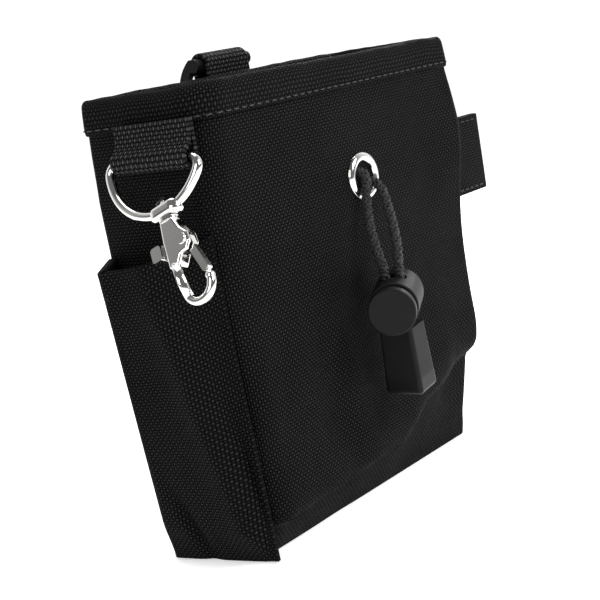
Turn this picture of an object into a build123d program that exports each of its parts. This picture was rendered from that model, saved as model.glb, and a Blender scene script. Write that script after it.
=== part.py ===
from build123d import *
import os
from math import cos, pi, radians, sin, tan

# Treat pouch: a sewn nylon bag with a drawcord, a side pocket, a swivel hook on a
# webbing tab, a side loop and a belt clip on a back strap.
# Frame: origin at the middle of the base on the floor, +Z up, front panel towards -Y.

# ---- driving dimensions (mm) ----
CLOTH = 1.3
LINING = 0.5
CORNER = 6.0
BACK_CORNER = 2.5
RIM_HEIGHT = 140.0
BAND = 10.6
BINDING = 1.0
BASE_CLOTH = 1.4
# height, half width, front face, back face
STATIONS = [
    (0.0, 59.5, -17.0, 17.0),
    (13.0, 60.0, -26.5, 17.5),
    (110.0, 64.3, -28.5, 17.5),
    (RIM_HEIGHT, 62.5, -29.1, 17.5),
]
SEWN_TOP = RIM_HEIGHT - BINDING

EYELET_X = 6.2
EYELET_Z = 102.0
EYELET_HOLE = 4.7
EYELET_BARREL = 5.2
EYELET_FLANGE = 7.7
EYELET_FACE = -28.5

CORD_R = 1.5

TAB_WIDTH = 28.5
TAB_THICK = 1.3
TAB_JOIN_Z = 126.6
TAB_INNER_X = -64.5
RING_WIRE = 1.45
RING_CENTRE_Y = -11.8
RING_BAR_Z = 121.0
RING_BAR_X = -67.7
RING_SWING = 22.0
RING_HALF_BAR = 13.6
RING_CORNER = 3.0
RING_DROP = 15.9
BOSS_OFFSET = 6.7
BOSS_DROP = 14.7
BOSS_HALF = 2.2
HOOK_LEAN = 24.0

LOCK_R = 7.65
LOCK_BORE = 5.7
BUTTON_STEM = 5.65
BUTTON_HEAD = 7.4
BUTTON_TRAVEL = 2.4
CORD_SLOT = 8.4

STRAP_WIDTH = 21.0
STRAP_X = 7.5
STRAP_THICK = 1.4
STRAP_JOIN_Z = 132.0
CLIP_BAR_R = 2.2
CLIP_BAR_Y = 22.5
CLIP_BAR_Z = 143.9
CLIP_THICK = 2.6


def write(part, name):
    """Label a finished piece and save it as its own STEP file."""
    part.label = name
    export_step(part, "parts/" + name + ".step")


def at_height(height):
    """Half width, front face and back face of the pouch at one height."""
    for low, high in zip(STATIONS, STATIONS[1:]):
        if height <= high[0]:
            share = (height - low[0]) / (high[0] - low[0])
            return [a + share * (b - a) for a, b in zip(low[1:], high[1:])]
    return list(STATIONS[-1][1:])


def heights_between(low, high):
    """The two ends and every station height between them."""
    inner = [station[0] for station in STATIONS if low < station[0] < high]
    return [low] + inner + [high]


def pouch_section(height, inset):
    """The pouch's outline at one height, inset from its outer face."""
    half, front, back = at_height(height)
    half -= inset
    front += inset
    back -= inset
    corner = max(CORNER - inset, 1.0)
    rear = max(BACK_CORNER - inset, 1.0)
    with BuildSketch(Plane.XY.offset(height)) as outline:
        with BuildLine():
            Line((-half + corner, front), (half - corner, front))
            RadiusArc((half - corner, front), (half, front + corner), -corner)
            Line((half, front + corner), (half, back - rear))
            RadiusArc((half, back - rear), (half - rear, back), -rear)
            Line((half - rear, back), (-half + rear, back))
            RadiusArc((-half + rear, back), (-half, back - rear), -rear)
            Line((-half, back - rear), (-half, front + corner))
            RadiusArc((-half, front + corner), (-half + corner, front), -corner)
        make_face()
    return outline.sketch


def pouch_block(low, high, inset):
    """The solid inside the pouch's outline between two heights."""
    with BuildPart() as block:
        for height in heights_between(low, high):
            add(pouch_section(height, inset))
        loft(ruled=True)
    return block.part


def eyelet_bore():
    """The round hole that the eyelet's barrel fills in the front cloth."""
    with BuildPart() as bore:
        with BuildSketch(Plane.XZ.offset(18)):
            with Locations((EYELET_X, EYELET_Z)):
                Circle(EYELET_BARREL + 0.05)
        extrude(amount=20)
    return bore.part


# ---- sewn body ----

def flat_wall(name, front):
    """The front or back panel, between the rounded corners."""
    bore = eyelet_bore()
    with BuildPart() as wall:
        for height in heights_between(0.0, SEWN_TOP):
            half, front_y, back_y = at_height(height)
            corner = CORNER if front else BACK_CORNER
            middle = front_y + CLOTH / 2 if front else back_y - CLOTH / 2
            with BuildSketch(Plane.XY.offset(height)):
                with Locations((0, middle)):
                    Rectangle(2 * (half - corner), CLOTH)
        loft(ruled=True)
        if front:
            add(bore, mode=Mode.SUBTRACT)
    write(wall.part, name)


def side_wall(name, side):
    """A side panel with the bag's two rounded corners on that side."""
    with BuildPart() as wall:
        for height in heights_between(0.0, SEWN_TOP):
            half, front, back = at_height(height)
            x_front = side * (half - CORNER)
            x_rear = side * (half - BACK_CORNER)
            x_out = side * half
            x_in = side * (half - CLOTH)
            with BuildSketch(Plane.XY.offset(height)):
                with BuildLine():
                    RadiusArc((x_front, front), (x_out, front + CORNER), -side * CORNER)
                    Line((x_out, front + CORNER), (x_out, back - BACK_CORNER))
                    RadiusArc((x_out, back - BACK_CORNER), (x_rear, back), -side * BACK_CORNER)
                    Line((x_rear, back), (x_rear, back - CLOTH))
                    RadiusArc((x_rear, back - CLOTH), (x_in, back - BACK_CORNER),
                              side * (BACK_CORNER - CLOTH))
                    Line((x_in, back - BACK_CORNER), (x_in, front + CORNER))
                    RadiusArc((x_in, front + CORNER), (x_front, front + CLOTH),
                              side * (CORNER - CLOTH))
                    Line((x_front, front + CLOTH), (x_front, front))
                make_face()
        loft(ruled=True)
    write(wall.part, name)


def base_panel():
    """The flat bottom, inside the four walls."""
    outline = pouch_section(0.0, CLOTH)
    with BuildPart() as base:
        add(outline)
        extrude(amount=BASE_CLOTH)
    write(base.part, "base_panel")


def liner():
    """The thin waterproof bag inside the walls."""
    outside = pouch_block(BASE_CLOTH, SEWN_TOP, CLOTH)
    hollow = pouch_block(BASE_CLOTH + LINING, SEWN_TOP, CLOTH + LINING)
    bore = eyelet_bore()
    with BuildPart() as bag:
        add(outside)
        add(hollow, mode=Mode.SUBTRACT)
        add(bore, mode=Mode.SUBTRACT)
    write(bag.part, "liner")


def rim_binding():
    """The folded band that closes the edge of the mouth, inside and outside."""
    low = RIM_HEIGHT - BAND
    around = pouch_block(low, RIM_HEIGHT, -BINDING)
    panels = pouch_block(low, SEWN_TOP, 0)
    inside = pouch_block(low, SEWN_TOP, CLOTH + LINING)
    mouth = pouch_block(low, RIM_HEIGHT, CLOTH + LINING + BINDING)
    with BuildPart() as binding:
        add(around)
        add(panels, mode=Mode.SUBTRACT)
        add(inside)
        add(mouth, mode=Mode.SUBTRACT)
    write(binding.part, "rim_binding")


# ---- drawcord channel ----
CHANNEL_LOW = 98.4
CHANNEL_HEIGHT = 7.4
CHANNEL_HALF = 61.6
CHANNEL_FRONT = -24.9
CHANNEL_BACK = 15.3
CHANNEL_DEPTH = 4.2
CHANNEL_WALL = 0.4
CHANNEL_CORNER = 13.0
CORD_LINE_Y = CHANNEL_FRONT + CHANNEL_DEPTH / 2


def ring_block(low, height, inset, depth):
    """A hollow rectangle of cloth that follows the inside of the mouth."""
    with BuildPart() as block:
        with BuildSketch(Plane.XY.offset(low)):
            with Locations((0, (CHANNEL_FRONT + CHANNEL_BACK) / 2)):
                deep = CHANNEL_BACK - CHANNEL_FRONT
                RectangleRounded(2 * (CHANNEL_HALF - inset), deep - 2 * inset,
                                 CHANNEL_CORNER - inset)
                inner = inset + depth
                RectangleRounded(2 * (CHANNEL_HALF - inner), deep - 2 * inner,
                                 CHANNEL_CORNER - inner, mode=Mode.SUBTRACT)
        extrude(amount=height)
    return block.part


def drawcord_channel():
    """The sewn tunnel that the drawcord runs in, open behind the eyelet."""
    outer = ring_block(CHANNEL_LOW, CHANNEL_HEIGHT, 0, CHANNEL_DEPTH)
    hollow = ring_block(CHANNEL_LOW + CHANNEL_WALL, CHANNEL_HEIGHT - 2 * CHANNEL_WALL,
                        CHANNEL_WALL, CHANNEL_DEPTH - 2 * CHANNEL_WALL)
    with BuildPart() as channel:
        add(outer)
        add(hollow, mode=Mode.SUBTRACT)
        with Locations((EYELET_X, CHANNEL_FRONT, CHANNEL_LOW + CHANNEL_HEIGHT / 2)):
            Box(20, 1.0, CHANNEL_HEIGHT - 2 * CHANNEL_WALL, mode=Mode.SUBTRACT)
    write(channel.part, "drawcord_channel")


# ---- eyelet ----

def eyelet():
    """The pressed metal eyelet: rolled flange in front, barrel through the cloth."""
    plane = Plane(origin=(EYELET_X, 0, EYELET_Z), x_dir=(1, 0, 0), z_dir=(0, 0, 1))
    with BuildPart() as ring:
        with BuildSketch(plane):
            with BuildLine():
                Line((EYELET_HOLE, -25.2), (EYELET_BARREL, -25.2))
                Line((EYELET_BARREL, -25.2), (EYELET_BARREL, EYELET_FACE))
                Line((EYELET_BARREL, EYELET_FACE), (EYELET_FLANGE, EYELET_FACE))
                ThreePointArc((EYELET_FLANGE, EYELET_FACE), (6.3, EYELET_FACE - 1.25),
                              (EYELET_HOLE, EYELET_FACE - 0.5))
                Line((EYELET_HOLE, EYELET_FACE - 0.5), (EYELET_HOLE, -25.2))
            make_face()
        revolve(axis=Axis((EYELET_X, 0, EYELET_Z), (0, 1, 0)))
    write(ring.part, "eyelet")


def eyelet_washer():
    """The washer that the eyelet's barrel is spread over, behind the cloth."""
    with BuildPart() as washer:
        with BuildSketch(Plane.XZ.offset(25.3)):
            with Locations((EYELET_X, EYELET_Z)):
                Circle(EYELET_FLANGE - 0.4)
                Circle(EYELET_BARREL + 0.05, mode=Mode.SUBTRACT)
        extrude(amount=0.7)
    write(washer.part, "eyelet_washer")


# ---- side pocket ----
POCKET_CLOTH = 1.3
POCKET_FRONT = -22.3
POCKET_REAR = 14.6
# height, depth of the pocket beyond the side panel
POCKET_STATIONS = [(0.0, 5.0), (13.0, 7.2), (100.0, 11.2)]
POCKET_FLOOR = (2.0, 5.4)
LIP_FRONT = 98.0
LIP_REAR = 91.5


def pocket_section(height, depth, inside):
    """The pocket's plan at one height, from its front seam to its rear seam."""
    wall = -at_height(height)[0]
    cloth = POCKET_CLOTH if inside else 0.0
    with BuildSketch(Plane.XY.offset(height)) as plan:
        with BuildLine():
            Polyline(
                (wall, POCKET_FRONT + 2 * cloth),
                (wall - 0.62 * depth + cloth, -8 + 0.3 * cloth),
                (wall - depth + cloth, 10 - 0.5 * cloth),
                (wall - 0.82 * depth + cloth, POCKET_REAR - 1.2 * cloth),
                (wall, POCKET_REAR - cloth),
                close=True,
            )
        make_face()
    return plan.sketch


def pocket_block(stations, inside):
    """The pocket's outside or its hollow, through a list of heights and depths."""
    with BuildPart() as block:
        for height, depth in stations:
            add(pocket_section(height, depth, inside))
        loft(ruled=True)
    return block.part


def side_pocket():
    """The gusseted pocket on the left side, with its lip sloping down to the back."""
    outside = pocket_block(POCKET_STATIONS, False)
    hollow = pocket_block([POCKET_FLOOR] + POCKET_STATIONS[1:], True)
    with BuildPart() as pocket:
        add(outside)
        add(hollow, mode=Mode.SUBTRACT)
        with BuildSketch(Plane.YZ.offset(-90)):
            with BuildLine():
                Polyline((-40, LIP_FRONT + 3.0), (POCKET_FRONT, LIP_FRONT), (16, LIP_REAR),
                         (30, LIP_REAR), (30, 110), (-40, 110), close=True)
            make_face()
        extrude(amount=60, mode=Mode.SUBTRACT)
    write(pocket.part, "side_pocket")


# ---- webbing tab and swivel hook ----

def webbing_tab():
    """Webbing folded round the bar of the ring, its ends under the rim binding."""
    fold = RING_BAR_X - TAB_INNER_X + TAB_THICK
    inner = -fold
    outer = inner + TAB_THICK
    top = RIM_HEIGHT - BAND - 0.1
    with BuildPart() as tab:
        with BuildSketch(Plane.XZ.offset(-(RING_CENTRE_Y + TAB_WIDTH / 2))):
            with BuildLine():
                Line((TAB_INNER_X, top), (TAB_INNER_X, RING_BAR_Z))
                ThreePointArc((TAB_INNER_X, RING_BAR_Z), (RING_BAR_X, RING_BAR_Z - outer),
                              (RING_BAR_X - outer, RING_BAR_Z))
                Line((RING_BAR_X - outer, RING_BAR_Z), (TAB_INNER_X - 2 * TAB_THICK, TAB_JOIN_Z))
                Line((TAB_INNER_X - 2 * TAB_THICK, TAB_JOIN_Z), (TAB_INNER_X - 2 * TAB_THICK, top))
                Line((TAB_INNER_X - 2 * TAB_THICK, top), (TAB_INNER_X, top))
            make_face()
            with Locations((RING_BAR_X, RING_BAR_Z)):
                Circle(inner, mode=Mode.SUBTRACT)
            with BuildLine():
                Polyline((RING_BAR_X + inner, RING_BAR_Z), (RING_BAR_X - inner, RING_BAR_Z),
                         (TAB_INNER_X - TAB_THICK - 0.1, TAB_JOIN_Z - 1.2), close=True)
            make_face(mode=Mode.SUBTRACT)
        extrude(amount=TAB_WIDTH)
    write(tab.part, "webbing_tab")


def ring_plane():
    """Plane of the hanging ring: x towards the front of the bag, y up, z outwards."""
    swing = radians(RING_SWING)
    return Plane(origin=(RING_BAR_X, RING_CENTRE_Y, RING_BAR_Z), x_dir=(0, -1, 0),
                 z_dir=(-cos(swing), 0, sin(swing)))


def hook_plane():
    """Plane of the hook, centred on the boss and leaning towards the front."""
    base = ring_plane()
    lean = radians(HOOK_LEAN)
    origin = base.from_local_coords(Vector(BOSS_OFFSET, -BOSS_DROP, 0))
    across = base.x_dir * cos(lean) + base.y_dir * sin(lean)
    return Plane(origin=origin, x_dir=across, z_dir=base.z_dir)


def hook_cross(down=0.0, right=0.0):
    """Plane square to the hook's swivel axis, facing up, at a distance below the boss."""
    base = hook_plane()
    origin = base.from_local_coords(Vector(right, -down, 0))
    return Plane(origin=origin, x_dir=base.x_dir, z_dir=base.y_dir)


def ring_boss():
    """The rounded lump on the ring that the hook's post turns in."""
    with BuildPart() as boss:
        with BuildSketch(hook_cross(BOSS_HALF)):
            RectangleRounded(10.8, 5.6, 2.75)
        extrude(amount=2 * BOSS_HALF)
        fillet(boss.edges().filter_by(lambda edge: abs(edge.tangent_at(0.5).dot(hook_cross().z_dir)) < 0.1),
               1.6)
    return boss.part


def clasp_ring():
    """D-shaped wire ring with the cast boss that the hook's post turns in."""
    plane = ring_plane()
    drop = RING_DROP
    corner = RING_CORNER
    # radius of the long lower arc that meets both corner arcs smoothly
    reach = corner - drop
    big = (RING_HALF_BAR ** 2 + reach ** 2 - corner ** 2) / (-2 * reach - 2 * corner)
    centre_y = big - drop
    gap = Vector(RING_HALF_BAR, -corner - centre_y).normalized()
    join = Vector(RING_HALF_BAR, -corner) + gap * corner
    mid_corner = Vector(RING_HALF_BAR, -corner) + Vector(1, 0.25).normalized() * corner
    with BuildPart() as ring:
        with BuildLine(plane):
            Line((-RING_HALF_BAR, 0), (RING_HALF_BAR, 0))
            ThreePointArc((RING_HALF_BAR, 0), (mid_corner.X, mid_corner.Y), (join.X, join.Y))
            ThreePointArc((join.X, join.Y), (0, -drop), (-join.X, join.Y))
            ThreePointArc((-join.X, join.Y), (-mid_corner.X, mid_corner.Y), (-RING_HALF_BAR, 0))
        start = Plane(origin=plane.origin, x_dir=plane.z_dir, z_dir=plane.x_dir)
        with BuildSketch(start.offset(-RING_HALF_BAR)):
            Circle(RING_WIRE)
        sweep()
        add(ring_boss())
        with BuildSketch(hook_cross(4.0)):
            Circle(1.65)
        extrude(amount=8.0, mode=Mode.SUBTRACT)
    write(ring.part, "clasp_ring")


PIN_RIGHT = 4.1
PIN_DOWN = 10.9
HOOK_WIRE = 1.3
CHEEK = 2.3
LEVER_SLOT = 1.45
LEVER_HALF = 0.95
HOOK_TIP = (8.75, -23.8)


def hook_loop():
    """The open loop of the hook, from its tip round to the neck."""
    plane = hook_plane()
    tip = plane.from_local_coords(Vector(*HOOK_TIP, 0))
    with BuildPart() as loop:
        with BuildLine(plane):
            ThreePointArc(HOOK_TIP, (4.9, -28.85), (0.3, -26.6))
            TangentArc((0.3, -26.6), (-1.1, -15.2), tangent=(-0.51, 0.86))
        with BuildSketch(Plane(origin=tip, x_dir=plane.x_dir, z_dir=-plane.y_dir)):
            Circle(HOOK_WIRE)
        sweep()
        with Locations(tip):
            Sphere(HOOK_WIRE + 0.12)
    return loop.part


def clasp_body():
    """The cast hook: riveted post, neck, two cheeks for the lever and the open loop."""
    plane = hook_plane()
    with BuildPart() as hook:
        with BuildSketch(plane):
            with BuildLine():
                Polyline((-2.2, -3.2), (2.6, -3.2), (4.2, -7.0), (6.2, -9.4), (6.5, -12.4),
                         (5.0, -14.4), (2.7, -14.6), (0.8, -17.4), (-2.5, -17.4), (-2.6, -9.0),
                         close=True)
            make_face()
            fillet(vertices(), 0.9)
        extrude(amount=CHEEK, both=True)
        outline = hook.faces().filter_by(lambda face: abs(face.normal_at().dot(plane.z_dir)) > 0.999)
        fillet(outline.edges(), 0.8)
        with BuildSketch(hook_cross(3.5)):
            Circle(2.9)
        extrude(amount=1.1)
        with BuildSketch(plane):
            with BuildLine():
                Polyline((-7.0, -5.4), (2.6, -5.6), (7.5, -8.0), (7.5, -18.0), (1.5, -18.0),
                         (1.2, -13.8), (-7.0, -13.8), close=True)
            make_face()
        extrude(amount=LEVER_SLOT, both=True, mode=Mode.SUBTRACT)
        with BuildSketch(hook_cross(3.2)):
            Circle(1.6)
        extrude(amount=6.2)
        with BuildSketch(hook_cross(-BOSS_HALF - 0.15)):
            Circle(2.7)
        extrude(amount=1.5, taper=38)
        add(hook_loop())
        with BuildSketch(plane.offset(-4)):
            with Locations((PIN_RIGHT, -PIN_DOWN)):
                Circle(0.9)
        extrude(amount=8, mode=Mode.SUBTRACT)
    write(hook.part, "clasp_body")


def clasp_lever():
    """The thumb lever whose long arm closes the hook."""
    plane = hook_plane()
    with BuildPart() as lever:
        with BuildSketch(plane.offset(-LEVER_HALF)):
            with BuildLine():
                Polyline((-7.0, -8.9), (-3.9, -8.9), (-2.9, -9.5), (1.6, -9.3), (2.7, -8.9),
                         (5.2, -9.0), (6.1, -10.4), (6.7, -13.5), (8.5, -18.5), (9.5, -21.5),
                         (7.5, -22.3), (6.1, -18.4), (4.6, -14.2), (3.0, -12.8), (-2.9, -12.2),
                         (-3.5, -13.2), (-6.6, -13.1), (-7.5, -12.1), close=True)
            make_face()
            fillet(vertices(), 0.35)
        extrude(amount=2 * LEVER_HALF)
        with BuildSketch(plane.offset(-CHEEK)):
            with Locations((-5.6, -11.1)):
                RectangleRounded(3.6, 4.4, 0.9)
        extrude(amount=2 * CHEEK)
        with BuildSketch(plane.offset(0.25)):
            with Locations((PIN_RIGHT, -PIN_DOWN)):
                Circle(1.95)
        extrude(amount=2, mode=Mode.SUBTRACT)
        with BuildSketch(plane.offset(-2)):
            with Locations((PIN_RIGHT, -PIN_DOWN)):
                Circle(0.95)
        extrude(amount=4, mode=Mode.SUBTRACT)
    write(lever.part, "clasp_lever")


def clasp_pin():
    """The riveted pin that the lever turns on."""
    plane = hook_plane()
    with BuildPart() as pin:
        with BuildSketch(plane.offset(-CHEEK)):
            with Locations((PIN_RIGHT, -PIN_DOWN)):
                Circle(0.9)
        extrude(amount=2 * CHEEK)
        for start, direction in ((CHEEK, 1), (-CHEEK, -1)):
            with BuildSketch(plane.offset(start)):
                with Locations((PIN_RIGHT, -PIN_DOWN)):
                    Circle(1.6)
            extrude(amount=0.45 * direction, taper=20)
    write(pin.part, "clasp_pin")


def coil_spring(name, plane, radius, wire, pitch, height):
    """A short round-wire coil standing on a plane."""
    with BuildPart() as spring:
        with BuildLine():
            turn = Helix(pitch=pitch, height=height, radius=radius, center=plane.origin,
                         direction=plane.z_dir)
        start = Plane(origin=turn @ 0, z_dir=turn % 0)
        with BuildSketch(start):
            Circle(wire)
        sweep(is_frenet=True)
    write(spring.part, name)


def clasp_spring():
    """The small return spring round the lever's pin."""
    plane = hook_plane()
    origin = plane.from_local_coords(Vector(PIN_RIGHT, -PIN_DOWN, 0.48))
    base = Plane(origin=origin, x_dir=plane.x_dir, z_dir=plane.z_dir)
    coil_spring("clasp_spring", base, 1.42, 0.18, 0.4, 0.68)


# ---- cord lock ----
LOCK_CENTRE = Vector(-2.4, -39.6, 64.2)
LOCK_UP = Vector(-0.082, -0.04, 0.996).normalized()
LOCK_OUT = Vector(-0.893, -0.441, -0.091).normalized()
LOCK_BACK = -10.4
LOCK_FRONT = 8.4
BORE_FLOOR = -8.9
STEM_END = -4.9
WELL_FLOOR = -2.4
WELL_R = 4.15
HEAD_INNER = 11.0
HEAD_OUTER = 14.0


def lock_plane(along=0.0):
    """Plane square to the button's travel, facing outwards, on the cord's centre."""
    across = LOCK_UP.cross(LOCK_OUT)
    return Plane(origin=LOCK_CENTRE + LOCK_OUT * along, x_dir=across, z_dir=LOCK_OUT)


def cord_slot(low, high):
    """The flat hole that both strands pass through, between two places along the bore."""
    plane = lock_plane((low + high) / 2)
    slot_floor = Plane(origin=plane.origin - plane.y_dir * 12, x_dir=plane.x_dir,
                       z_dir=plane.y_dir)
    with BuildPart() as slot:
        with BuildSketch(slot_floor):
            RectangleRounded(CORD_SLOT, high - low, 1.3)
        extrude(amount=24)
    return slot.part


def cord_lock_body():
    """The barrel of the cord lock, with a blind bore for the button."""
    slot = cord_slot(-2.2, 2.2)
    with BuildPart() as barrel:
        with BuildSketch(lock_plane(LOCK_BACK)):
            Circle(LOCK_R)
        extrude(amount=LOCK_FRONT - LOCK_BACK)
        fillet(barrel.edges().sort_by(Axis(LOCK_CENTRE, LOCK_OUT))[0], 2.4)
        fillet(barrel.edges().sort_by(Axis(LOCK_CENTRE, LOCK_OUT))[-1], 0.5)
        with BuildSketch(lock_plane(BORE_FLOOR)):
            Circle(LOCK_BORE)
        extrude(amount=20, mode=Mode.SUBTRACT)
        add(slot, mode=Mode.SUBTRACT)
    write(barrel.part, "cord_lock_body")


def cord_lock_button():
    """The spring button: a round head and a stem with its own cord hole."""
    slot = cord_slot(-1.65, 4.35)
    with BuildPart() as button:
        with BuildSketch(lock_plane(STEM_END)):
            Circle(BUTTON_STEM)
        extrude(amount=HEAD_INNER - STEM_END)
        with BuildSketch(lock_plane(HEAD_INNER)):
            Circle(BUTTON_HEAD)
        extrude(amount=HEAD_OUTER - HEAD_INNER)
        fillet(button.edges().sort_by(Axis(LOCK_CENTRE, LOCK_OUT))[-1], 0.6)
        add(slot, mode=Mode.SUBTRACT)
        with BuildSketch(lock_plane(STEM_END)):
            Circle(WELL_R)
        extrude(amount=WELL_FLOOR - STEM_END, mode=Mode.SUBTRACT)
    write(button.part, "cord_lock_button")


def cord_lock_spring():
    """The coil spring on the bore's floor, as long as it is when the button is pressed home."""
    coil_spring("cord_lock_spring", lock_plane(BORE_FLOOR + 0.45), 3.6, 0.35, 1.35, 3.1)


# ---- drawcord ----
SPREAD = 1.95
KNOT_DROP = 16.0


def lock_point(up, side):
    """A point beside the lock's centre line: distance up the cord, side to side."""
    across = LOCK_UP.cross(LOCK_OUT)
    return LOCK_CENTRE + LOCK_UP * up + across * side


# from the channel, through the eyelet and down to the lock
LEFT_ROUTE = [
    (-4.5, CORD_LINE_Y, 103.3),
    (4.3, CORD_LINE_Y, 103.5),
    (4.0, -31.9, 103.8),
    (1.3, -31.4, 94.5),
    (-3.0, -34.4, 85.5),
    (-4.8, -37.4, 77.6),
]
RIGHT_ROUTE = [
    (17.0, CORD_LINE_Y, 100.6),
    (8.2, CORD_LINE_Y, 100.4),
    (8.4, -32.3, 99.8),
    (6.6, -35.4, 93.0),
    (2.6, -39.4, 85.0),
    (-1.7, -42.3, 77.6),
]


def bend_radii(points):
    """Largest smooth radius at each corner: 0.45 of its shorter run, over tan of half the turn."""
    radii = []
    for before, here, after in zip(points, points[1:], points[2:]):
        first = Vector(*here) - Vector(*before)
        second = Vector(*after) - Vector(*here)
        turn = radians(first.get_angle(second))
        radii.append(0.45 * min(first.length, second.length) / tan(turn / 2))
    return radii


def cord(name, points, widest=None):
    """A round cord along straight runs joined by tangent arcs, none wider than its tunnel allows."""
    points = [tuple(Vector(*point)) for point in points]
    radii = bend_radii(points)
    if widest:
        radii = [min(radius, widest) for radius in radii]
    with BuildPart() as strand:
        with BuildLine():
            path = FilletPolyline(*points, radius=radii)
        with BuildSketch(Plane(origin=path @ 0, z_dir=path % 0)):
            Circle(CORD_R)
        sweep()
    length = path.length
    expected = pi * CORD_R ** 2 * length
    print(name, "radii", [round(radius, 1) for radius in radii], "length", round(length, 1),
          "volume ratio", round(strand.part.volume / expected, 4))
    write(strand.part, name)


def drawcord():
    """Two free strands and the hidden run round the mouth."""
    for name, route, side in (("cord_left", LEFT_ROUTE, -SPREAD), ("cord_right", RIGHT_ROUTE, SPREAD)):
        near_lock = lock_point(9.3, side * 1.06)
        end = lock_point(-KNOT_DROP, side)
        cord(name, route + [tuple(near_lock), tuple(end)])
    side_x = CHANNEL_HALF - CHANNEL_DEPTH / 2
    back_y = CHANNEL_BACK - CHANNEL_DEPTH / 2
    around = [
        LEFT_ROUTE[0],
        (-32.0, CORD_LINE_Y + 0.1, 102.2),
        (-side_x, CORD_LINE_Y, 102.0),
        (-side_x, back_y, 101.9),
        (0.0, back_y + 0.1, 102.0),
        (side_x, back_y, 101.9),
        (side_x, CORD_LINE_Y, 101.8),
        (32.0, CORD_LINE_Y + 0.1, 101.4),
        RIGHT_ROUTE[0],
    ]
    cord("cord_in_channel", around, CHANNEL_CORNER - CHANNEL_DEPTH / 2)


def cord_end_plane(down):
    """Plane square to the hanging cord end, facing down, below the lock's centre."""
    return Plane(origin=lock_point(-down, 0), x_dir=(1, 0.1, 0.08), z_dir=-LOCK_UP)


END_TOP = 8.3
END_LENGTH = 21.5
END_JOINT = 16.2


def cord_end_block(start, stop, shrink):
    """A flared block between two distances below the lock's centre."""
    with BuildPart() as block:
        for down in (start, stop):
            share = (down - END_TOP) / END_LENGTH
            with BuildSketch(cord_end_plane(down)):
                RectangleRounded(9.6 + 1.6 * share - shrink, 11.4 + 1.4 * share - shrink, 1.2)
        loft(ruled=True)
    return block.part


def cord_end():
    """The moulded cord end that hides the knots."""
    shell = cord_end_block(END_TOP, END_TOP + END_JOINT, 0)
    with BuildPart() as end:
        add(shell)
        with BuildSketch(cord_end_plane(END_TOP + 3.0)):
            RectangleRounded(7.2, 8.8, 1.4)
        extrude(amount=END_LENGTH, mode=Mode.SUBTRACT)
        across = LOCK_UP.cross(LOCK_OUT)
        with BuildSketch(Plane(origin=lock_point(-END_TOP + 1, 0), x_dir=across, z_dir=-LOCK_UP)):
            RectangleRounded(7.3, 3.3, 1.6)
        extrude(amount=6, mode=Mode.SUBTRACT)
    write(end.part, "cord_end")


def cord_end_cap():
    """The plug that snaps into the bottom of the cord end."""
    block = cord_end_block(END_TOP + END_JOINT, END_TOP + END_LENGTH, 0)
    with BuildPart() as cap:
        add(block)
        fillet(cap.faces().sort_by(Axis(LOCK_CENTRE, LOCK_UP))[0].edges(), 1.6)
        with BuildSketch(cord_end_plane(END_TOP + END_JOINT)):
            RectangleRounded(7.1, 8.7, 1.3)
        extrude(amount=-2.6)
    write(cap.part, "cord_end_cap")


def cord_knots():
    """The two stopper knots inside the cord end, pulled into one lump."""
    with BuildPart() as knots:
        with BuildSketch(cord_end_plane(KNOT_DROP)):
            RectangleRounded(6.6, 7.8, 1.8)
        extrude(amount=4.2)
        fillet(knots.edges(), 0.8)
    write(knots.part, "cord_knots")


# ---- side loop ----

def side_loop():
    """A flat loop of the bag's cloth sewn into the right side."""
    root = 64.35
    tip = 92.0
    middle = -20.0
    outer = 2.0
    inner = 0.8
    with BuildPart() as loop:
        with BuildSketch(Plane.XY.offset(83.2)):
            with BuildLine():
                Line((root, middle - outer), (tip - outer, middle - outer))
                ThreePointArc((tip - outer, middle - outer), (tip, middle), (tip - outer, middle + outer))
                Line((tip - outer, middle + outer), (root, middle + outer))
                Line((root, middle + outer), (root, middle + inner))
                Line((root, middle + inner), (tip - outer, middle + inner))
                ThreePointArc((tip - outer, middle + inner), (tip - outer + inner, middle),
                              (tip - outer, middle - inner))
                Line((tip - outer, middle - inner), (root, middle - inner))
                Line((root, middle - inner), (root, middle - outer))
            make_face()
        extrude(amount=27.0)
    write(loop.part, "side_loop")


# ---- back strap and belt clip ----

def back_strap():
    """Webbing sewn down the back, folded over the bar of the belt clip."""
    inner = CLIP_BAR_R + 0.3
    outer = inner + STRAP_THICK
    low = 98.0
    near = CLIP_BAR_Y - outer
    far = CLIP_BAR_Y + outer
    back = STATIONS[-1][3] + 0.1
    under_rim = RIM_HEIGHT - BAND - 2.0
    doubled = near + 2 * STRAP_THICK
    with BuildPart() as strap:
        with BuildSketch(Plane.YZ.offset(STRAP_X - STRAP_WIDTH / 2)):
            with BuildLine():
                Line((back, low), (back, under_rim))
                Line((back, under_rim), (near, under_rim + 2.0))
                Line((near, under_rim + 2.0), (near, CLIP_BAR_Z))
                ThreePointArc((near, CLIP_BAR_Z), (CLIP_BAR_Y, CLIP_BAR_Z + outer), (far, CLIP_BAR_Z))
                Line((far, CLIP_BAR_Z), (doubled, STRAP_JOIN_Z))
                Line((doubled, STRAP_JOIN_Z), (doubled, under_rim))
                Line((doubled, under_rim), (back + 2 * STRAP_THICK, under_rim - 3.0))
                Line((back + 2 * STRAP_THICK, under_rim - 3.0), (back + 2 * STRAP_THICK, low))
                Line((back + 2 * STRAP_THICK, low), (back, low))
            make_face()
            with Locations((CLIP_BAR_Y, CLIP_BAR_Z)):
                Circle(inner, mode=Mode.SUBTRACT)
            with BuildLine():
                Polyline((CLIP_BAR_Y - inner, CLIP_BAR_Z), (CLIP_BAR_Y + inner, CLIP_BAR_Z),
                         (near + STRAP_THICK + 0.1, 136.5), close=True)
            make_face(mode=Mode.SUBTRACT)
        extrude(amount=STRAP_WIDTH)
    write(strap.part, "back_strap")


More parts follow.
